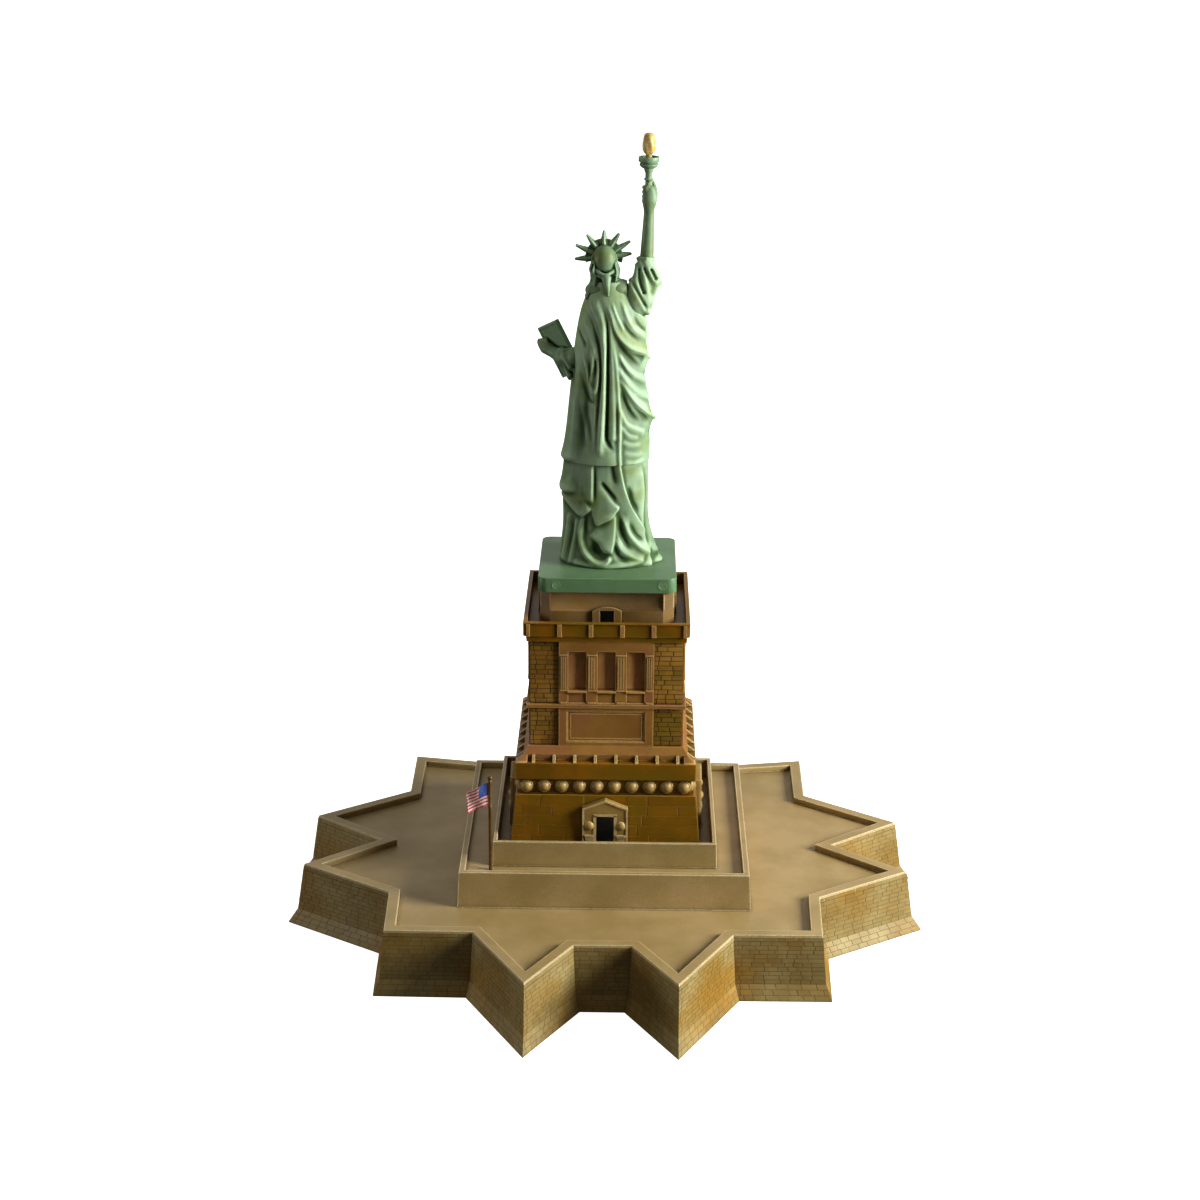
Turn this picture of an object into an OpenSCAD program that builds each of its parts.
/* [Star fort] */
// Height of the fort's wall up to the deck
wall_h = 12.7; // [10:0.1:16]
// Height of the parapet above the deck
parapet_h = 1.4; // [0.8:0.1:2.5]
// Width of the wall's top
wall_w = 2.4; // [1.8:0.1:2.8]
// How far the wall's foot stands out from its top edge
foot_out = 2.4; // [1.2:0.1:3]
// Height of the flared foot
foot_h = 3.4; // [2:0.1:5]
// Thickness of the deck and of the plate under the fort
plate_t = 1.6; // [1:0.1:2.5]

/* [Terraces] */
// Half the width of the lower terrace
lower_half = 30.8; // [29:0.1:33]
// Top of the lower terrace's parapet
lower_top = 20.7; // [19.5:0.1:22]
// Half the width of the upper terrace
upper_half = 23.9; // [23.5:0.1:26]
// Top of the upper terrace's parapet
upper_top = 24.8; // [23.5:0.1:27]

/* [Pedestal] */
// Half the width of the battered base at its top
base_half = 19.2; // [18.8:0.1:20]
// Top of the battered base
base_top = 33.8; // [32:0.1:35]
// Number of round shields along each side
shields_per_side = 10; // [6:1:10]
// Radius of a round shield
shield_r = 1.45; // [0.8:0.05:1.55]
// Half the width of the shaft at its corner quoins
shaft_half = 16.1; // [15.8:0.1:16.4]
// Half the width of the framed bay in the middle of each side
bay_half = 10.1; // [9.5:0.1:11]
// Top of the balcony's parapet
balcony_top = 72.3; // [71.5:0.1:74]
// Half the width of the balcony's parapet
balcony_half = 17.6; // [17.3:0.1:18]

/* [Statue] */
// Half the width of the plinth under the statue
plinth_half = 14.6; // [14.2:0.1:15.5]
// Thickness of the plinth
plinth_h = 3.2; // [2:0.1:4]
// Radius of the torch's gallery
gallery_r = 2.1; // [1.6:0.1:2.4]
// Reach of the crown's rays from the middle of the head
ray_reach = 6.1; // [5:0.1:7]

/* [Flagstaff] */
// Diameter of the staff
staff_d = 0.75; // [0.6:0.05:1.2]
// Gap between the staff and its socket, all round
staff_gap = 0.05; // [0.02:0.01:0.08]
// Height of the staff's top above the ground
staff_top = 40; // [34:0.5:46]
// Thickness of the flag
flag_t = 0.36; // [0.3:0.02:0.5]

/* [Hidden] */
$fn = 32;

stone = "#8a7b55";
ochre = "#7a5a22";
verdigris = "#7fae86";
gold = "#c9a24a";

deck_z = wall_h;
parapet_top = wall_h + parapet_h;
kink_out = 1.0;
lower_floor = lower_top - 1.55;
upper_floor = lower_floor + 1.05;
terrace_wall = 1.25;
moulding_t = 1.2;
shield_top = base_top + 3.3;
plain_top = shield_top + 4;
bracket_top = plain_top + 1.3;
shaft_foot = bracket_top + 1.75;
band_half = base_half - 0.8;
lip_half = base_half - 1.6;
shelf_half = base_half + 0.1;
core_half = shaft_half - 0.6;
bay_face = shaft_half + 0.6;
string_z = shaft_foot + 8.7;
string_top = string_z + 0.85;
shaft_top = 67.8;
cornice_top = shaft_top + 1.3;
walk_z = cornice_top + 0.6;
panel_half = balcony_half - 0.3;
walk_half = balcony_half - 0.9;
attic_half = plinth_half - 0.4;
attic_chamfer = 2.3;
plinth_z = 78;
statue_z = plinth_z + plinth_h;
cut = 60;

// Right half of the wall's top edge, from the far point round to the gate curtain
half_plan = [
    [0, -69.2], [27, -44.8], [46.4, -48.5], [46.1, -27.4], [66, -12.6], [50.5, 0],
    [66, 13.4], [46.1, 26.9], [45.5, 45.1], [27, 45.3], [15.4, 67.4], [6, 50.8]
];
star_plan = concat(half_plan, [for (i = [len(half_plan) - 1:-1:1]) [-half_plan[i].x, half_plan[i].y]]);

// Robe: height, then its reach to the right, left, front and back
robe_levels = [
    [0, 11.2, 10.5, 8.6, 8.2], [3, 10.2, 10.2, 8, 7.8], [9, 8.4, 9.6, 7, 7.2],
    [16, 8.5, 10, 6.6, 6.8], [23, 8.4, 9.6, 6.2, 6.3], [32, 8.6, 8.6, 5.8, 5.8],
    [40, 7.3, 7.9, 5.4, 5.4], [47, 7.4, 7.2, 5, 5], [53, 7.6, 6.3, 4.6, 4.6],
    [57, 6.4, 5.2, 3.8, 4], [59.3, 4.2, 4.2, 2.8, 3], [60.4, 1.3, 2.7, 1.6, 1.9]
];
neck = [0.7, 0.2, statue_z + 60.4];
skull = [1.25, -0.2, 145.9];
crown = [skull.x + 0.1, skull.y - 0.7, skull.z + 0.35];
diadem_r = 3.9;
torch_x = -7.7;
hand_z = 156.7;
grip_z = 162;
gallery_z = 164.8;
flame_z = 167.2;
elbow = [8.4, -0.4, 124.9];
wrist = [12.5, -4.7, 125.5];
tablet_top = [13.55, -5, 131];
tablet_size = [6.8, 1.1, 11.8];
staff_at = [24.3, 25.9];
socket_depth = 2.2;

// ---- Shared shapes ----

function unit(v) = v / norm(v);
function outward(a, b) = let (along = unit(b - a)) [along.y, -along.x];

// A closed outline moved outwards by d, with mitred corners
function grown(plan, d) = [for (i = [0:len(plan) - 1])
    let (
        n = len(plan),
        before = outward(plan[(i + n - 1) % n], plan[i]),
        after = outward(plan[i], plan[(i + 1) % n])
    )
    plan[i] + d * (before + after) / (1 + before * after)];

function at_height(plan, z) = [for (p = plan) [p.x, p.y, z]];

// An oval ring that reaches a different way to each side
function oval(level, grow = 0) = [for (i = [0:27])
    let (
        t = 360 * i / 28,
        side = cos(t) < 0 ? level[1] : level[2],
        deep = sin(t) < 0 ? level[3] : level[4]
    )
    [(side + grow) * cos(t), (deep + grow) * sin(t), statue_z + level[0]]];

// A solid through rings of equally many points, each ring level with the ground
module skin(rings) {
    n = len(rings[0]);
    last = len(rings) - 1;
    foot = len(rings) * n;
    walls = [for (k = [0:last - 1], i = [0:n - 1])
        let (a = k * n + i, b = k * n + (i + 1) % n)
        each [[a, a + n, b + n], [a, b + n, b]]];
    bottom = [for (i = [0:n - 1]) [foot, i, (i + 1) % n]];
    top = [for (i = [0:n - 1]) [foot + 1, last * n + (i + 1) % n, last * n + i]];
    middles = [for (ring = [rings[0], rings[last]]) [for (p = ring) 1 / n] * ring];
    polyhedron(concat([for (ring = rings) each ring], middles), concat(walls, bottom, top), convexity = 8);
}

// A square block or a battered one, standing on height z
module tier(z, h, bottom, top) {
    translate([0, 0, z]) rotate(45)
        cylinder(h = h, r1 = bottom * sqrt(2), r2 = top * sqrt(2), $fn = 4);
}

module square_tube(z, h, outer, inner) {
    difference() {
        tier(z, h, outer, outer);
        tier(z - 1, h + 2, inner, inner);
    }
}

module four_sides() {
    for (quarter = [0:3]) rotate(90 * quarter) children();
}

// A block on one side, from x0 to x1, y0 to y1 and z0 to z1
module block(x0, x1, y0, y1, z0, z1) {
    translate([x0, y0, z0]) cube([x1 - x0, y1 - y0, z1 - z0]);
}

module rod(a, b, ra, rb) {
    hull() {
        translate(a) sphere(ra);
        translate(b) sphere(rb);
    }
}

// ---- Star fort ----

module base_plate() {
    color(stone) linear_extrude(plate_t) polygon(grown(star_plan, -wall_w));
}

module fort_wall() {
    deck_out = kink_out * parapet_h / (parapet_top - foot_h);
    color(ochre) difference() {
        skin([
            at_height(grown(star_plan, foot_out), 0),
            at_height(grown(star_plan, kink_out), foot_h),
            at_height(grown(star_plan, deck_out), deck_z)
        ]);
        translate([0, 0, -1]) linear_extrude(deck_z + 2) polygon(grown(star_plan, -wall_w));
    }
}

module fort_parapet() {
    deck_out = kink_out * parapet_h / (parapet_top - foot_h);
    color(stone) difference() {
        skin([at_height(grown(star_plan, deck_out), deck_z), at_height(star_plan, parapet_top)]);
        translate([0, 0, deck_z - 1]) linear_extrude(parapet_h + 2) polygon(grown(star_plan, -wall_w));
    }
}

module fort_deck() {
    color(stone) translate([0, 0, deck_z - plate_t])
        linear_extrude(plate_t) polygon(grown(star_plan, -wall_w));
}

// ---- Terraces ----

module lower_terrace() {
    socket = [staff_at.x, staff_at.y, lower_floor - socket_depth];
    color(stone) difference() {
        union() {
            difference() {
                tier(deck_z, lower_top - deck_z, lower_half + 0.4, lower_half);
                tier(deck_z - 1, lower_floor - moulding_t - deck_z + 1,
                    lower_half - terrace_wall, lower_half - terrace_wall);
                tier(lower_floor, lower_top, lower_half - terrace_wall, lower_half - terrace_wall);
            }
            translate([socket.x, socket.y, socket.z - 0.8]) cylinder(h = 2.2, d = staff_d + 2);
        }
        translate(socket) cylinder(h = socket_depth + 1, d = staff_d + 2 * staff_gap);
    }
}

module upper_terrace() {
    inner = upper_half - 0.85;
    color(stone) difference() {
        tier(lower_floor, upper_top - lower_floor, upper_half + 0.2, upper_half);
        tier(upper_floor, upper_top, inner, inner);
    }
}

// ---- Battered base with its four entrances ----

portico_half = 4.9;
portico_face = 20.9;
door_half = 1.88;
door_top = 29.5;
eaves_z = 31.4;
gable_z = 33.3;

module base_mass() {
    tier(upper_floor, base_top - upper_floor, base_half + 1.4, base_half);
}

module pedestal_base() {
    color(ochre) difference() {
        base_mass();
        tier(upper_floor - 1, base_top - moulding_t - upper_floor + 1,
            base_half + 0.2, base_half - moulding_t);
        four_sides() block(-door_half, door_half, 12, cut, upper_floor - 1, door_top);
    }
}

module entrance_porticos() {
    color(stone) difference() {
        four_sides() difference() {
            translate([0, portico_face, 0]) rotate([90, 0, 0]) linear_extrude(2.5) polygon([
                [-portico_half, upper_floor], [portico_half, upper_floor],
                [portico_half, eaves_z], [0, gable_z], [-portico_half, eaves_z]
            ]);
            block(-door_half, door_half, 12, cut, upper_floor - 1, door_top);
        }
        base_mass();
    }
}

// The part of a ball that stands out from a face
module dome(r, sunk) {
    difference() {
        translate([0, -sunk, 0]) sphere(r);
        block(-2, 2, -2, 0, -2, 2);
    }
}

module portico_shields() {
    color(stone) four_sides() for (side = [-1, 1]) translate([side * 3.4, portico_face, 27.4]) dome(1.05, 0.35);
}

// ---- Bands above the base ----

module shield_band() {
    color(ochre) square_tube(base_top, shield_top - base_top, band_half, band_half - moulding_t);
}

module round_shields() {
    pitch = 2 * (band_half - shield_r) / (shields_per_side - 1) - 0.01;
    color(ochre) four_sides() for (i = [0:shields_per_side - 1])
        translate([(i - (shields_per_side - 1) / 2) * pitch, band_half, (base_top + shield_top) / 2 + 0.1])
            dome(shield_r, 0.15);
}

module plain_band() {
    color(ochre) difference() {
        union() {
            tier(shield_top, 0.4, base_half - 0.2, shelf_half);
            tier(shield_top + 0.4, plain_top - shield_top - 0.4, shelf_half, shelf_half);
        }
        tier(shield_top - 1, plain_top, band_half - moulding_t, band_half - moulding_t);
    }
}

module bracket_band() {
    bare = lip_half - 0.9;
    h = bracket_top - plain_top;
    color(ochre) difference() {
        union() {
            tier(plain_top, h, lip_half - 0.1, lip_half - 0.1);
            difference() {
                tier(plain_top, h, base_half, lip_half - 0.05);
                four_sides() block(-bare, bare, 0, cut, plain_top - 1, bracket_top + 1);
            }
        }
        tier(plain_top - 1, h + 2, band_half - 2 * moulding_t, band_half - 2 * moulding_t);
    }
}

module brackets() {
    pitch = 4.4;
    w = 0.7;
    color(stone) four_sides() for (i = [-3.5:3.5])
        translate([i * pitch + w / 2, lip_half - 0.1, plain_top]) rotate([90, 0, -90])
            linear_extrude(w) polygon([[0, 0], [-1.65, 0], [0, bracket_top - plain_top]]);
}

module weathering() {
    lip = 0.25;
    color(ochre) difference() {
        union() {
            tier(bracket_top, lip, lip_half, lip_half);
            tier(bracket_top + lip, shaft_foot - bracket_top - lip, lip_half, bay_face);
        }
        tier(bracket_top - 1, shaft_foot, core_half - moulding_t, core_half - moulding_t);
    }
}

// ---- Shaft ----

module shaft_core() {
    color(ochre) square_tube(shaft_foot, shaft_top - shaft_foot, core_half, core_half - moulding_t);
}

// Corner pads on the core between two heights
module quoins(z0, z1) {
    for (quarter = [0:3]) rotate(90 * quarter) difference() {
        block(bay_half, shaft_half, bay_half, shaft_half, z0, z1);
        block(0, core_half, 0, core_half, z0 - 1, z1 + 1);
    }
}

module lower_quoins() {
    color(ochre) quoins(shaft_foot, string_z);
}

module upper_quoins() {
    color(ochre) quoins(string_top, shaft_top);
}

module lower_panels() {
    color(ochre) four_sides() difference() {
        block(-bay_half, bay_half, core_half, bay_face, shaft_foot, string_z);
        block(-bay_half + 1.8, bay_half - 1.8, bay_face - 0.35, cut, shaft_foot + 0.9, string_z - 0.8);
    }
}

module string_course() {
    color(ochre) square_tube(string_z, string_top - string_z, bay_face + 0.3, core_half);
}

opening_half = 1.87;
opening_pitch = 6.2;
sill_z = string_top + 3.05;
lintel_z = 65.5;

module loggia_frames() {
    color(ochre) four_sides() difference() {
        block(-bay_half, bay_half, core_half, bay_face, string_top, shaft_top);
        for (i = [-1:1]) translate([i * opening_pitch, 0, 0]) {
            block(-opening_half, opening_half, core_half - 1, cut, sill_z, lintel_z);
            block(-opening_half, opening_half, bay_face - 0.3, cut, string_top + 0.3, sill_z - 0.6);
        }
    }
}

module loggia_sills() {
    color(ochre) four_sides() for (i = [-1:1]) translate([i * opening_pitch, 0, 0])
        block(-opening_half - 0.2, opening_half + 0.2, bay_face, bay_face + 0.3, sill_z - 0.45, sill_z);
}

module pilaster_capitals() {
    color(ochre) four_sides() for (i = [-1.5:1.5]) {
        half = abs(i) > 1 ? 0.9 : 1.15;
        shift = abs(i) > 1 ? -0.2 * sign(i) : 0;
        translate([i * opening_pitch + shift, 0, 0])
            block(-half, half, bay_face, bay_face + 0.2, lintel_z - 0.9, lintel_z - 0.55);
    }
}

module shaft_cornice() {
    color(ochre) tier(shaft_top, cornice_top - shaft_top, bay_face + 0.2, bay_face + 0.3);
}

// ---- Balcony and attic ----

module balcony_floor() {
    color(ochre) tier(cornice_top, walk_z - cornice_top, walk_half, walk_half);
}

module balcony_parapet() {
    rail = 0.4;
    color(ochre) difference() {
        union() {
            tier(cornice_top, balcony_top - rail - cornice_top, panel_half, panel_half);
            tier(balcony_top - rail, rail, balcony_half, balcony_half);
        }
        tier(cornice_top - 1, balcony_top, walk_half, walk_half);
    }
}

module parapet_posts() {
    pitch = 6.62;
    color(ochre) four_sides() for (i = [-2.5:2.5]) {
        post = abs(i) > 2 ? 0.4 : 0.5;
        translate([i * pitch, 0, 0])
            block(-post, post, panel_half, balcony_half, cornice_top, balcony_top - 0.4);
    }
}

attic_door_half = 1.45;
attic_door_top = 74.1;

module attic_block() {
    a = attic_half;
    c = attic_half - attic_chamfer;
    scotia_r = 4;
    color(ochre) difference() {
        translate([0, 0, walk_z]) linear_extrude(plinth_z - walk_z)
            polygon([[a, -c], [a, c], [c, a], [-c, a], [-a, c], [-a, -c], [-c, -a], [c, -a]]);
        tier(walk_z + 1, plinth_z - walk_z - 2.2, a - 1.6, a - 1.6);
        four_sides() {
            translate([-c, a + scotia_r - 0.6, 75.9]) rotate([0, 90, 0]) cylinder(h = 2 * c, r = scotia_r, $fn = 48);
            block(-attic_door_half, attic_door_half, a - 2, cut, walk_z + 0.02, attic_door_top);
        }
    }
}

module attic_doorways() {
    half = 3.1;
    arch_r = 5.8;
    color(ochre) four_sides() difference() {
        intersection() {
            block(-half, half, attic_half, attic_half + 0.6, walk_z, 75.5);
            translate([0, attic_half, attic_door_top + 0.8 - arch_r]) rotate([-90, 0, 0]) cylinder(h = 1, r = arch_r, $fn = 64);
        }
        block(-attic_door_half, attic_door_half, attic_half - 1, cut, walk_z - 1, attic_door_top);
    }
}

module statue_plinth() {
    r = 1.9;
    inset = plinth_half - r;
    color(verdigris) translate([0, 0, plinth_z]) {
        for (sx = [-1, 1], sy = [-1, 1]) translate([sx * inset, sy * inset, 0]) cylinder(h = plinth_h, r = r);
        block(-inset, inset, -plinth_half, plinth_half, 0, plinth_h);
        block(-plinth_half, plinth_half, -inset, inset, 0, plinth_h);
    }
}

// ---- Statue ----

module robe_mass() {
    skin([for (level = robe_levels) oval(level)]);
}

module robe_front() {
    color(verdigris) intersection() {
        robe_mass();
        block(-cut, cut, -cut, 0, 0, 200);
    }
}

module robe_back() {
    color(verdigris) intersection() {
        robe_mass();
        block(-cut, cut, 0, cut, 0, 200);
    }
}

module mantle_mass() {
    difference() {
        skin([for (level = robe_levels) if (level[0] > 20 && level[0] < 60) oval(level, 0.7)]);
        block(-cut, cut, -cut, 1.5, 0, 200);
    }
}

// The mantle hangs down the back from the left shoulder
module mantle() {
    color(verdigris) difference() {
        mantle_mass();
        robe_mass();
    }
}

module skull_mass() {
    profile = [for (t = [-90:15:90]) [2.2 * cos(t), 3.3 * sin(t)]];
    translate(skull) rotate_extrude() polygon(profile);
    translate(neck) cylinder(h = 2.4, r = 1.25);
}

// Locks down both sides of the neck, the knot at the nape and its tail
module hair_mass() {
    rod([3.3, 0.4, 145.6], [4.1, 0.9, 141.6], 1, 0.9);
    rod([-1, 0.4, 145.6], [-1.9, 1.1, 142], 0.9, 0.8);
    rod([1, 1.4, 143.6], [0.7, 2.6, 142.6], 1.6, 1);
    rod([0.7, 2.6, 142.6], [0.4, 3.2, 139.9], 0.9, 0.7);
}

module head() {
    color(verdigris) skull_mass();
}

module hair_knot() {
    color(verdigris) difference() {
        hair_mass();
        skull_mass();
        robe_mass();
        mantle_mass();
    }
}

// An upright band round the top of the head
module diadem_mass() {
    translate(crown) difference() {
        rotate([90, 0, 0]) cylinder(h = 1.2, r = diadem_r, center = true);
        rotate([90, 0, 0]) cylinder(h = 2, r = diadem_r - 1.6, center = true);
        block(-cut, cut, -cut, cut, -cut, -1);
    }
}

module diadem() {
    color(verdigris) difference() {
        diadem_mass();
        skull_mass();
        hair_mass();
    }
}

module crown_rays() {
    root = diadem_r - 0.1;
    color(verdigris) difference() {
        translate(crown) for (i = [0:6]) rotate([0, 90 - (30 * i - 6), 0])
            translate([0, 0, root]) cylinder(h = ray_reach - root, r1 = 0.55, r2 = 0.25, $fn = 16);
        diadem_mass();
    }
}

module right_sleeve() {
    color(verdigris) difference() {
        union() {
            rod([-5.2, 0, 138.6], [-7.4, 0, 143.2], 2.9, 2.2);
            rod([-7.4, 0, 143.2], [-7.6, 0, 145.4], 2.2, 1.5);
            rod([-7.4, 0.4, 142.6], [-10, 0.8, 141.6], 1.8, 0.7);
        }
        robe_mass();
        mantle_mass();
        block(-cut, cut, -cut, cut, 145.9, 200);
        skull_mass();
        hair_mass();
    }
}

module right_forearm() {
    color(verdigris) translate([-7.6, 0, 145.9]) cylinder(h = hand_z - 145.9, r1 = 1.25, r2 = 1.1);
}

module right_hand() {
    color(verdigris) translate([-7.75, 0, hand_z]) rotate_extrude()
        polygon([[0, 0], [1.1, 0], [1.45, 1.4], [1.5, 3], [1.15, 4.6], [0.9, grip_z - hand_z], [0, grip_z - hand_z]]);
}

module torch_handle() {
    color(verdigris) translate([torch_x, 0, grip_z]) cylinder(h = gallery_z - grip_z, r1 = 0.75, r2 = 1.1);
}

module torch_gallery() {
    top = flame_z - gallery_z;
    color(verdigris) translate([torch_x, 0, gallery_z]) rotate_extrude() polygon([
        [0, 0], [1.1, 0], [gallery_r - 0.3, 0.9], [gallery_r - 0.1, 1.1], [gallery_r, top - 0.4],
        [gallery_r, top], [gallery_r - 0.4, top], [gallery_r - 0.4, top - 0.5], [0, top - 0.5]
    ]);
}

module torch_flame() {
    base = flame_z - 0.5;
    color(gold) translate([torch_x, 0, base]) rotate_extrude() polygon([
        [0, 0], [0.6, 0], [0.65, 0.9], [1.2, 2], [1.35, 3], [1.1, 4.4], [0.7, 5.1], [0, 172 - base]
    ]);
}

module left_forearm() {
    color(verdigris) difference() {
        rod(elbow, wrist, 1.6, 1);
        robe_mass();
        tablet_mass();
    }
}

module hand_mass() {
    rod(wrist + [0.9, -0.9, 0.1], wrist + [1.8, -1.9, 0.6], 1, 0.85);
}

module left_hand() {
    color(verdigris) difference() {
        hand_mass();
        rod(elbow, wrist, 1.6, 1);
        tablet_mass();
    }
}

module tablet_mass() {
    translate(tablet_top) multmatrix([
        [0.577, 0.675, 0.46, 0], [-0.704, 0.7, -0.13, 0], [-0.42, -0.249, 0.88, 0]
    ]) translate([-tablet_size.x / 2, -tablet_size.y, -tablet_size.z]) cube(tablet_size);
}

module tablet() {
    color(verdigris) difference() {
        tablet_mass();
        robe_mass();
    }
}

// ---- Flagstaff, which turns in its socket ----

module flag_pole() {
    foot = lower_floor - socket_depth + 0.02;
    color("#7a5a2a") translate([staff_at.x, staff_at.y, foot]) cylinder(h = staff_top - foot, d = staff_d);
}

module flag_finial() {
    color("#9a7a45") translate([staff_at.x, staff_at.y, staff_top]) rotate_extrude()
        polygon([[0, 0], [0.35, 0], [0.55, 0.35], [0.5, 0.65], [0, 0.85]]);
}

module flag() {
    hoist_top = staff_top - 0.7;
    color("#c96a6a") difference() {
        translate([staff_at.x, staff_at.y + flag_t / 2, 0]) rotate([90, 0, 0]) linear_extrude(flag_t) polygon([
            [0.2, hoist_top], [0.2, hoist_top - 5.2], [2.4, hoist_top - 5.8], [4.6, hoist_top - 7.1],
            [5, hoist_top - 2.5], [2.6, hoist_top - 1.4]
        ]);
        translate([staff_at.x, staff_at.y, 0]) cylinder(h = 100, d = staff_d);
    }
}

base_plate();
fort_wall();
fort_parapet();
fort_deck();
lower_terrace();
upper_terrace();
pedestal_base();
entrance_porticos();
portico_shields();
shield_band();
round_shields();
plain_band();
bracket_band();
brackets();
weathering();
shaft_core();
lower_quoins();
upper_quoins();
lower_panels();
string_course();
loggia_frames();
loggia_sills();
pilaster_capitals();
shaft_cornice();
balcony_floor();
balcony_parapet();
parapet_posts();
attic_block();
attic_doorways();
statue_plinth();
robe_front();
robe_back();
mantle();
head();
hair_knot();
diadem();
crown_rays();
right_sleeve();
right_forearm();
right_hand();
torch_handle();
torch_gallery();
torch_flame();
left_forearm();
left_hand();
tablet();
flag_pole();
flag_finial();
flag();
